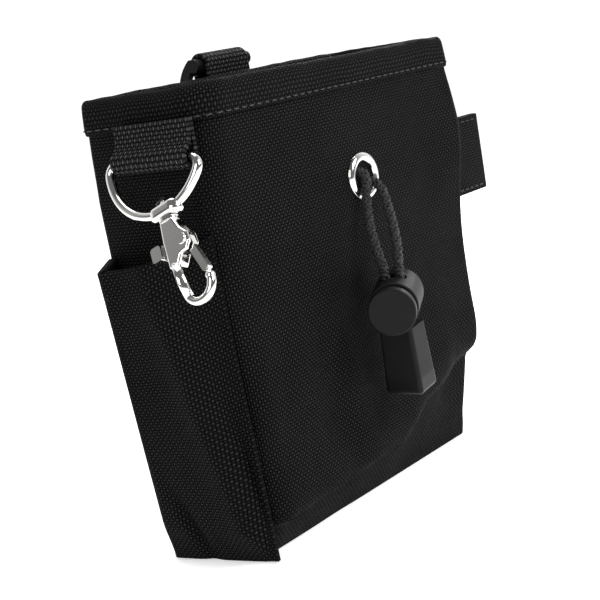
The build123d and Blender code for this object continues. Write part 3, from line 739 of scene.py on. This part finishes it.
class POUCH_OT_rim(bpy.types.Operator):
    """Builds the folded band round the mouth and its row of stitches"""
    bl_idname = "pouch.rim"
    bl_label = "Rim band"

    def execute(self, context):
        profile = ((0.1, 0.0), (-0.75, 0.15), (-1.15, 1.1), (-1.1, 4.5), (-1.05, 8.0), (-0.8, 9.6),
                   (0.1, 10.5), (1.2, 10.6), (2.3, 10.2), (2.9, 9.2), (2.95, 5.0), (2.9, 1.0),
                   (2.2, 0.3), (1.9, 3.0), (1.5, 9.0), (0.2, 9.0), (0.1, 3.0), (0.1, 0.0))
        last = len(profile) - 1

        def band_place(u, v):
            inset, rise = profile[min(int(v * last + 0.5), last)]
            share = u % 1.0
            (x, y), out = around(share, RIM_TOP)
            lift = 0.55 * drift(x * 0.05, y * 0.05, 2.0)
            lift += 0.25 * drift(x * 0.19, y * 0.19, 5.0)
            if rise < 2:
                lift *= 0.7
            point = bag_point(share, min(BAND_LOW + rise, RIM_TOP), inset, 0.0)
            sway = rim_sway(x, y)
            return (point[0] + out[0] * sway, point[1] + out[1] * sway, BAND_LOW + rise + min(lift, 0.3))
        band = cloth_grid("rim_band", 330, last, band_place, (0.345, 0.040))
        weld(band)
        apply_modifier(band, "SUBSURF", levels=1, render_levels=1)
        smooth(band, 70)
        settle(band, "shell_fabric", shell_material(), "rim_binding")

        row = []
        for step in range(401):
            share = (step / 400) % 1.0
            (x, y), out = around(share, BAND_LOW + STITCH_RISE)
            spot = bag_point(share, BAND_LOW + STITCH_RISE, -1.22, 0.0)
            sway = rim_sway(x, y)
            row.append((Vector((spot[0] + out[0] * sway, spot[1] + out[1] * sway, spot[2])) * MM,
                        Vector((*out, 0))))
        stitch_line("rim_stitches", row)
        return {"FINISHED"}


POCKET_SEAM_Y = -24.2
POCKET_CORNER_Y = 11.2
POCKET_REAR_Y = 16.4
POCKET_FOOT = 0.4
FACE_END = 0.70
BACK_START = 0.77
FACE_OUT = (-0.955, -0.295)
BACK_OUT = (-0.35, 0.94)


def pocket_depth(height):
    """How far the pocket's outer corner stands off the side of the bag."""
    return 5.2 + 2.2 * ease(height, 0, 14) + 3.6 * max(height - 13, 0) / 87


def pocket_lip(share):
    """Height of the pocket's lip from the front seam round to the back."""
    if share <= 0.72:
        way = share / 0.72
        return 98.2 - 7.4 * (1 - (1 - way) ** 2)
    return 90.8 + 2.4 * (share - 0.72) / 0.28


def pocket_place(u, v, inset=0.0):
    """A point of the pocket's cloth: u goes from its front seam to its rear seam, v up to the lip."""
    height = POCKET_FOOT + v * (pocket_lip(u) - POCKET_FOOT)
    half = bag_level(height)[0]
    deep = pocket_depth(height)
    seam = Vector((-half + 0.1, POCKET_SEAM_Y))
    corner = Vector((-half - deep, POCKET_CORNER_Y))
    rear = Vector((-half + 0.3, POCKET_REAR_Y))
    if u <= FACE_END:
        way = u / FACE_END * 0.975
        flat = seam.lerp(corner, way)
        ridge = 0.13 + 0.46 * v
        swell = 1.7 * math.sin(math.pi * min(v, 1.0)) ** 0.8 * math.sin(math.pi * way) ** 1.2
        swell += 4.0 * hill(way, ridge, 0.17) * ease(v, 0.0, 0.12) * (1 - 0.45 * ease(v, 0.8, 1.0))
        swell -= 3.4 * hill(way, ridge - 0.19, 0.10) * hill(v, 0.26, 0.20)
        swell -= 2.0 * hill(way - 0.9 * (v - 0.05), 0.66, 0.07) * hill(v, 0.13, 0.11)
        swell += 0.8 * drift(way * 2.7, v * 3.9, 1.7) * ease(v, 0, 0.1) * (1 - 0.7 * ease(v, 0.85, 1))
        out = Vector(FACE_OUT)
        spot = flat + out * (swell * ease(way, 0.0, 0.12) - inset)
    elif u >= BACK_START:
        way = 0.06 + 0.94 * (u - BACK_START) / 0.23
        flat = corner.lerp(rear, way)
        out = Vector(BACK_OUT)
        spot = flat + out * (0.5 * math.sin(math.pi * way) * math.sin(math.pi * v) - inset)
    else:
        way = (u - FACE_END) / 0.07
        first = Vector(pocket_place(FACE_END, v, inset)[:2])
        last = Vector(pocket_place(BACK_START, v, inset)[:2])
        middle = corner + Vector((0.75, -0.3)).normalized() * inset
        spot = first.lerp(middle, way).lerp(middle.lerp(last, way), way)
    return spot.x, spot.y, height


class POUCH_OT_pocket(bpy.types.Operator):
    """Builds the side pocket, its folded lip and its seams"""
    bl_idname = "pouch.pocket"
    bl_label = "Side pocket"

    def execute(self, context):
        cloth = context.scene.treat_pouch.cloth
        pocket = cloth_grid("pocket_cloth", 84, 100, pocket_place, (0.052, 0.096))
        thicken(pocket, cloth.cloth_thickness)
        smooth(pocket)
        settle(pocket, "shell_fabric", shell_material(), "side_pocket")

        profile = ((-0.05, -8.6), (-0.75, -8.4), (-0.95, -4.5), (-0.9, -0.8), (-0.3, 0.35),
                   (0.7, 0.55), (1.7, 0.3), (2.2, -0.8), (2.2, -7.6), (1.3, -8.0), (1.25, -1.0),
                   (-0.02, -1.0), (-0.05, -8.6))
        last = len(profile) - 1

        def lip_place(u, v):
            inset, drop = profile[min(int(v * last + 0.5), last)]
            reach = 1.0 + drop / (pocket_lip(u) - POCKET_FOOT)
            return pocket_place(u, reach, inset)
        lip = cloth_grid("pocket_lip_fold", 84, last, lip_place, (0.052, 0.030))
        weld(lip)
        bpy.ops.object.mode_set(mode="EDIT")
        bpy.ops.mesh.select_all(action="DESELECT")
        bpy.ops.mesh.select_non_manifold()
        bpy.ops.mesh.fill_holes(sides=0)
        bpy.ops.object.mode_set(mode="OBJECT")
        apply_modifier(lip, "SUBSURF", levels=1, render_levels=1)
        smooth(lip, 70)
        settle(lip, "shell_fabric", shell_material())

        rows = []
        for step in range(61):
            u = step / 60
            spot = Vector(pocket_place(u, 1 - 7.3 / pocket_lip(u), -1.02))
            out = FACE_OUT if u < 0.73 else BACK_OUT
            rows.append((spot * MM, Vector((*out, 0))))
        stitch_line("pocket_lip_stitches", rows)
        seam = [(Vector(pocket_place(0.055, step / 60, -0.06)) * MM, Vector((*FACE_OUT, 0)))
                for step in range(1, 60)]
        stitch_line("pocket_seam_stitches", seam)
        return {"FINISHED"}


def ribbon(name, path, width_low, width_high, axis, columns, slot, material, thickness, *nodes):
    """A webbing strip along a path in one plane, as wide as given along the third axis."""
    runs = [(Vector(b) - Vector(a)).length for a, b in zip(path, path[1:])]
    total = sum(runs)

    def on_path(share):
        left = share * total
        for (a, b), run in zip(zip(path, path[1:]), runs):
            if left <= run or b == path[-1]:
                return Vector(a).lerp(Vector(b), min(left / run, 1.0))
            left -= run

    def place(u, v):
        flat = on_path(v)
        across = width_low + u * (width_high - width_low)
        return {"x": (across, flat[0], flat[1]), "y": (flat[0], across, flat[1]),
                "z": (flat[0], flat[1], across)}[axis]
    piece = cloth_grid(name, columns, int(total / 0.45), place, ((width_high - width_low) * MM, total * MM))
    thicken(piece, thickness, 0.0)
    apply_modifier(piece, "BEVEL", width=thickness * 0.32, segments=2, limit_method="ANGLE",
                   angle_limit=math.radians(50))
    smooth(piece, 60)
    settle(piece, slot, material, *nodes)


def arc(centre, radius, start, end, steps):
    """Places on an arc, angles in degrees."""
    return [(centre[0] + radius * math.cos(math.radians(start + (end - start) * i / steps)),
             centre[1] + radius * math.sin(math.radians(start + (end - start) * i / steps)))
            for i in range(steps + 1)]


class POUCH_OT_tab(bpy.types.Operator):
    """Builds the webbing tab that carries the ring"""
    bl_idname = "pouch.tab"
    bl_label = "Webbing tab"

    def execute(self, context):
        low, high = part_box("webbing_tab")
        thick = context.scene.treat_pouch.cloth.webbing_thickness / MM
        bar_x, bar_z = RING_BAR
        bend = 2.55
        top = BAND_LOW + 2.0
        inner_x = -64.5 - thick / 2
        path = [(inner_x - thick - 0.1, top), (inner_x - thick - 0.2, 127.6),
                (inner_x - thick - 0.9, 125.0), (bar_x - bend + 0.1, 122.4)]
        path += arc((bar_x, bar_z), bend, 180, 360, 14)
        path += [(inner_x - 0.02, 123.0), (inner_x, 127.0), (inner_x, top)]
        ribbon("tab_webbing", path, low.y / MM, high.y / MM, "y", 30, "webbing",
               webbing_material(), thick * MM, "webbing_tab")
        return {"FINISHED"}


class POUCH_OT_side_loop(bpy.types.Operator):
    """Builds the flat cloth loop on the right side"""
    bl_idname = "pouch.side_loop"
    bl_label = "Side loop"

    def execute(self, context):
        low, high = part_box("side_loop")
        middle = (low.y + high.y) / 2 / MM
        root, tip = low.x / MM - 1.5, high.x / MM
        bend = 1.2
        path = [(root, middle - bend), (root + 8, middle - bend - 0.15), (tip - 9, middle - bend - 0.1)]
        path += arc((tip - bend - 0.6, middle), bend, -90, 90, 10)
        path += [(tip - 9, middle + bend + 0.1), (root + 8, middle + bend + 0.15), (root, middle + bend)]
        ribbon("side_loop_cloth", path, low.z / MM, high.z / MM, "z", 34, "shell_fabric",
               shell_material(), 0.0012, "side_loop")
        face = middle - bend - 0.85
        for index, height in enumerate((low.z / MM + 1.7, high.z / MM - 1.7)):
            row = path_of([(root + 2.5 + i * 0.8, face + 0.1, height) for i in range(31)], (0, -1, 0))
            stitch_line(f"loop_stitches_{index + 1}", row)
        return {"FINISHED"}


class POUCH_OT_back_strap(bpy.types.Operator):
    """Builds the back strap that is folded over the belt clip's bar"""
    bl_idname = "pouch.back_strap"
    bl_label = "Back strap"

    def execute(self, context):
        low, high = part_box("back_strap")
        thick = 1.4
        bar_y, bar_z = CLIP_BAR
        bend = 3.15
        near_y = bar_y - bend
        base_y = 17.65 + thick / 2
        path = [(base_y, 98.2), (base_y, 126.5), (near_y - 0.1, 131.0), (near_y, 138.0)]
        path += arc((bar_y, bar_z), bend, 180, 0, 14)
        path += [(bar_y + 2.2, 139.0), (near_y + thick + 0.35, 132.5), (near_y + thick + 0.1, 130.0),
                 (base_y + thick + 0.1, 125.5), (base_y + thick + 0.05, 98.6)]
        ribbon("strap_webbing", path, low.x / MM, high.x / MM, "x", 24, "webbing",
               webbing_material(), thick * MM, "back_strap")
        face = base_y + 1.5 * thick + 0.22
        left, right = low.x / MM + 2.2, high.x / MM - 2.2
        corners = [(left, 100.5), (right, 100.5), (right, 120.0), (left, 120.0), (left, 100.5),
                   (right, 120.0), (left, 120.0), (right, 100.5)]
        for index, (a, b) in enumerate(zip(corners, corners[1:])):
            row = path_of([(a[0] + (b[0] - a[0]) * i / 20, face, a[1] + (b[1] - a[1]) * i / 20)
                           for i in range(21)], (0, 1, 0))
            stitch_line(f"strap_stitches_{index + 1}", row, length=0.0021)
        return {"FINISHED"}


def spline_points(name, route):
    """A cord's centre line: one open spline through its route, and the points read from it."""
    curve = bpy.data.curves.new(name, "CURVE")
    curve.dimensions = "3D"
    spline = curve.splines.new("NURBS")
    spline.points.add(len(route) - 1)
    for point, place in zip(spline.points, route):
        point.co = (*place, 1.0)
    spline.order_u = 3
    spline.use_endpoint_u = True
    spline.resolution_u = 24
    line = put_in_scene(name, curve)
    bpy.context.view_layer.update()
    mesh = bpy.data.meshes.new_from_object(line)
    points = [vertex.co.copy() for vertex in mesh.vertices]
    bpy.data.meshes.remove(mesh)
    return line, points


def even_points(points, spacing):
    """The same line with evenly spaced points, each with a frame that doesn't twist."""
    lengths = [0.0]
    for a, b in zip(points, points[1:]):
        lengths.append(lengths[-1] + (b - a).length)
    total = lengths[-1]
    count = max(int(total / spacing), 2)
    spots = []
    index = 0
    for step in range(count + 1):
        wanted = total * step / count
        while index < len(points) - 2 and lengths[index + 1] < wanted:
            index += 1
        run = lengths[index + 1] - lengths[index]
        share = (wanted - lengths[index]) / run if run > 0 else 0.0
        spots.append((points[index].lerp(points[index + 1], min(share, 1.0)), wanted))
    frames = []
    side = None
    for step, (spot, wanted) in enumerate(spots):
        before = spots[max(step - 1, 0)][0]
        after = spots[min(step + 1, count)][0]
        forward = (after - before).normalized()
        if side is None:
            side = forward.orthogonal().normalized()
        side = (side - forward * side.dot(forward)).normalized()
        frames.append((spot, wanted, side.copy(), forward.cross(side)))
    return frames, total


def braid(name, frames, settings):
    """A round braid whose carriers pass over and under each other, on a hidden core."""
    radius = settings.diameter / 2
    wide, high = radius * 0.40, radius * 0.25
    ring = radius - high - radius * 0.06
    swing = radius * 0.17
    sides = 8
    built = bmesh.new()
    uv_layer = built.loops.layers.uv.new("UVMap")

    def tube(centres, span_out, span_across):
        rings = []
        for centre, out, across in centres:
            rings.append([built.verts.new(centre + out * span_out * math.sin(2 * math.pi * k / sides)
                                          + across * span_across * math.cos(2 * math.pi * k / sides))
                          for k in range(sides)])
        for row, (first, second) in enumerate(zip(rings, rings[1:])):
            for k in range(sides):
                after = (k + 1) % sides
                face = built.faces.new((first[k], first[after], second[after], second[k]))
                corners = ((k, row), (k + 1, row), (k + 1, row + 1), (k, row + 1))
                for loop, (a, b) in zip(face.loops, corners):
                    loop[uv_layer].uv = (a / sides, b * 0.05)
        built.faces.new(list(reversed(rings[0])))
        built.faces.new(rings[-1])

    for direction in (1, -1):
        for carrier in range(settings.carriers):
            centres = []
            for spot, travelled, side, up in frames:
                turn = 2 * math.pi * travelled / settings.lay
                angle = direction * turn + 2 * math.pi * carrier / settings.carriers
                out = side * math.cos(angle) + up * math.sin(angle)
                across = side * -math.sin(angle) + up * math.cos(angle)
                over = direction * math.cos(settings.carriers * turn + math.pi * carrier)
                centres.append((spot + out * (ring + swing * over), out, across))
            tube(centres, high, wide)
    core = [(spot, side, up) for spot, travelled, side, up in frames]
    tube(core, ring * 0.92, ring * 0.92)
    bmesh.ops.recalc_face_normals(built, faces=built.faces)
    mesh = bpy.data.meshes.new(name)
    built.to_mesh(mesh)
    built.free()
    piece = put_in_scene(name, mesh)
    smooth(piece, 80)
    return piece


class POUCH_OT_drawcord(bpy.types.Operator):
    """Builds the two braided strands, the run in the channel and the stopper knots"""
    bl_idname = "pouch.drawcord"
    bl_label = "Drawcord"

    def execute(self, context):
        settings = context.scene.treat_pouch.cord
        for name, node, route in (("drawcord_left", "cord_left", LEFT_ROUTE),
                                  ("drawcord_right", "cord_right", RIGHT_ROUTE)):
            line, points = spline_points(name + "_line", route)
            bpy.data.objects.remove(line)
            frames, total = even_points(points, 0.00024)
            strand = braid(name, frames, settings)
            settle(strand, "cord", cord_material(), node)

        line, points = spline_points("drawcord_in_channel", CHANNEL_ROUTE)
        line.data.bevel_depth = settings.diameter / 2
        line.data.bevel_resolution = 4
        line.data.use_fill_caps = True
        settle(line, "cord", cord_material(), "cord_in_channel")

        low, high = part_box("cord_knots")
        centre = (low + high) / 2
        deselect()
        knots = []
        for tilt, turn in ((0.5, 0.2), (-0.6, 1.4), (1.2, 2.3)):
            bpy.ops.mesh.primitive_torus_add(location=centre, rotation=(tilt, turn, tilt * 0.7),
                                             major_radius=0.0017, minor_radius=0.0013,
                                             major_segments=28, minor_segments=12)
            knots.append(bpy.context.object)
        deselect()
        for knot in knots:
            knot.select_set(True)
        bpy.context.view_layer.objects.active = knots[0]
        bpy.ops.object.join()
        knot = bpy.context.object
        knot.name = "stopper_knots"
        bpy.ops.object.transform_apply(location=True, rotation=True, scale=True)
        smooth(knot)
        settle(knot, "cord", cord_material(), "cord_knots")
        return {"FINISHED"}


class POUCH_OT_fittings(bpy.types.Operator):
    """Gives the metal and plastic fittings their finishes"""
    bl_idname = "pouch.fittings"
    bl_label = "Fittings"

    def execute(self, context):
        finishes = {
            nickel_material(): ("clasp_ring", "clasp_body", "clasp_lever", "clasp_pin",
                                "eyelet", "eyelet_washer"),
            steel_material(): ("clasp_spring", "cord_lock_spring"),
            plastic_material("lock_plastic", 0.42, 0.25): ("cord_lock_body", "cord_end"),
            plastic_material("cap_plastic", 0.28, 0.10): ("cord_end_cap",),
            plastic_material("button_plastic", 0.42, 0.45): ("cord_lock_button",),
            plastic_material("clip_plastic", 0.30, 0.20): ("belt_clip",),
        }
        for material, nodes in finishes.items():
            for node in nodes:
                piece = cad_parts[node]
                piece.data.materials.clear()
                piece.data.materials.append(material)
        return {"FINISHED"}


class POUCH_OT_stage(bpy.types.Operator):
    """Sets the floor, the soft lamps, the pale surround and the camera"""
    bl_idname = "pouch.stage"
    bl_label = "Studio"

    def execute(self, context):
        stage = context.scene.treat_pouch.stage
        deselect()
        bpy.ops.mesh.primitive_plane_add(size=6.0, location=(0, 0, -0.0003))
        floor = context.object
        floor.name = "studio_floor"
        bpy.ops.object.transform_apply(location=True, rotation=True, scale=True)
        floor.data.materials.append(floor_material())

        context.scene.view_settings.view_transform = "Standard"
        world = bpy.data.worlds.new("studio_light")
        context.scene.world = world
        world.use_nodes = True
        tree = world.node_tree
        background = tree.nodes["Background"]
        preset(background, Color=(1, 1, 1, 1))
        parts = tree.nodes.new("ShaderNodeSeparateXYZ")
        tree.links.new(tree.nodes.new("ShaderNodeTexCoord").outputs["Generated"], parts.inputs[0])
        behind = maths(tree, "MULTIPLY", parts.outputs[1], 0.63)
        behind = maths(tree, "MULTIPLY_ADD", parts.outputs[0], 0.78, behind)
        share = maths(tree, "MULTIPLY_ADD", behind, 1.6, 0.35)
        share = maths(tree, "MINIMUM", maths(tree, "MAXIMUM", share, 0.16), 1.12)
        tree.links.new(maths(tree, "MULTIPLY", share, stage.strength), background.inputs["Strength"])

        aim = Vector((0.0, -0.01, 0.07))
        lamps = (
            ("key_lamp", (0.10, -0.75, 0.62), 0.45, 7.5),
            ("side_lamp", (-0.75, -0.10, 0.40), 0.40, 2.2),
            ("top_lamp", (0.05, 0.15, 0.95), 0.55, 4.0),
            ("rim_lamp", (0.70, 0.20, 0.35), 0.35, 2.5),
        )
        for name, place, size, power in lamps:
            light = bpy.data.lights.new(name, "AREA")
            light.size = size
            light.energy = power * stage.strength
            lamp = put_in_scene(name, light)
            lamp.location = place
            lamp.rotation_euler = (aim - Vector(place)).to_track_quat("-Z", "Y").to_euler()

        azimuth, elevation, roll = stage.azimuth, stage.elevation, stage.roll
        back = Vector((math.sin(azimuth) * math.cos(elevation), -math.cos(azimuth) * math.cos(elevation),
                       math.sin(elevation)))
        level = (-back).cross(Vector((0, 0, 1))).normalized()
        rise = level.cross(-back)
        right = level * math.cos(roll) + rise * math.sin(roll)
        up = rise * math.cos(roll) - level * math.sin(roll)
        middle = Vector((0.0, 0.0, 0.07102))
        place = middle + back * stage.distance + right * 0.00108 - up * 0.00668
        data = bpy.data.cameras.new("studio_camera")
        data.lens = stage.focal_length
        data.sensor_width = 36.0
        data.clip_start = 0.01
        camera = put_in_scene("studio_camera", data)
        turn = Matrix((right, up, back)).transposed()
        camera.matrix_world = Matrix.Translation(place) @ turn.to_4x4()
        context.scene.camera = camera
        return {"FINISHED"}


class POUCH_PT_panel(bpy.types.Panel):
    """Lists the pouch's builders and settings"""
    bl_idname = "POUCH_PT_panel"
    bl_label = "Treat pouch"
    bl_space_type = "VIEW_3D"
    bl_region_type = "UI"
    bl_category = "Pouch"

    def draw(self, context):
        settings = context.scene.treat_pouch
        for group in (settings.cloth, settings.cord, settings.fittings, settings.stage):
            box = self.layout.box()
            for key in group.__annotations__:
                box.prop(group, key)
        for operator in OPERATORS:
            self.layout.operator(operator.bl_idname)


OPERATORS = (
    POUCH_OT_shell,
    POUCH_OT_lining,
    POUCH_OT_rim,
    POUCH_OT_pocket,
    POUCH_OT_tab,
    POUCH_OT_side_loop,
    POUCH_OT_back_strap,
    POUCH_OT_drawcord,
    POUCH_OT_fittings,
    POUCH_OT_stage,
)
GROUPS = (ClothSettings, CordSettings, FittingSettings, StageSettings, PouchSettings)
CLASSES = GROUPS + OPERATORS + (POUCH_PT_panel,)


def register():
    """Register every class and hang the settings on the scene."""
    for item in CLASSES:
        bpy.utils.register_class(item)
    bpy.types.Scene.treat_pouch = PointerProperty(type=PouchSettings)


def unregister():
    """Take the settings and classes away again."""
    del bpy.types.Scene.treat_pouch
    for item in reversed(CLASSES):
        bpy.utils.unregister_class(item)


def main():
    """Build the whole pouch."""
    register()
    for operator in OPERATORS:
        group, name = operator.bl_idname.split(".")
        getattr(getattr(bpy.ops, group), name)()


if __name__ == "__main__":
    main()
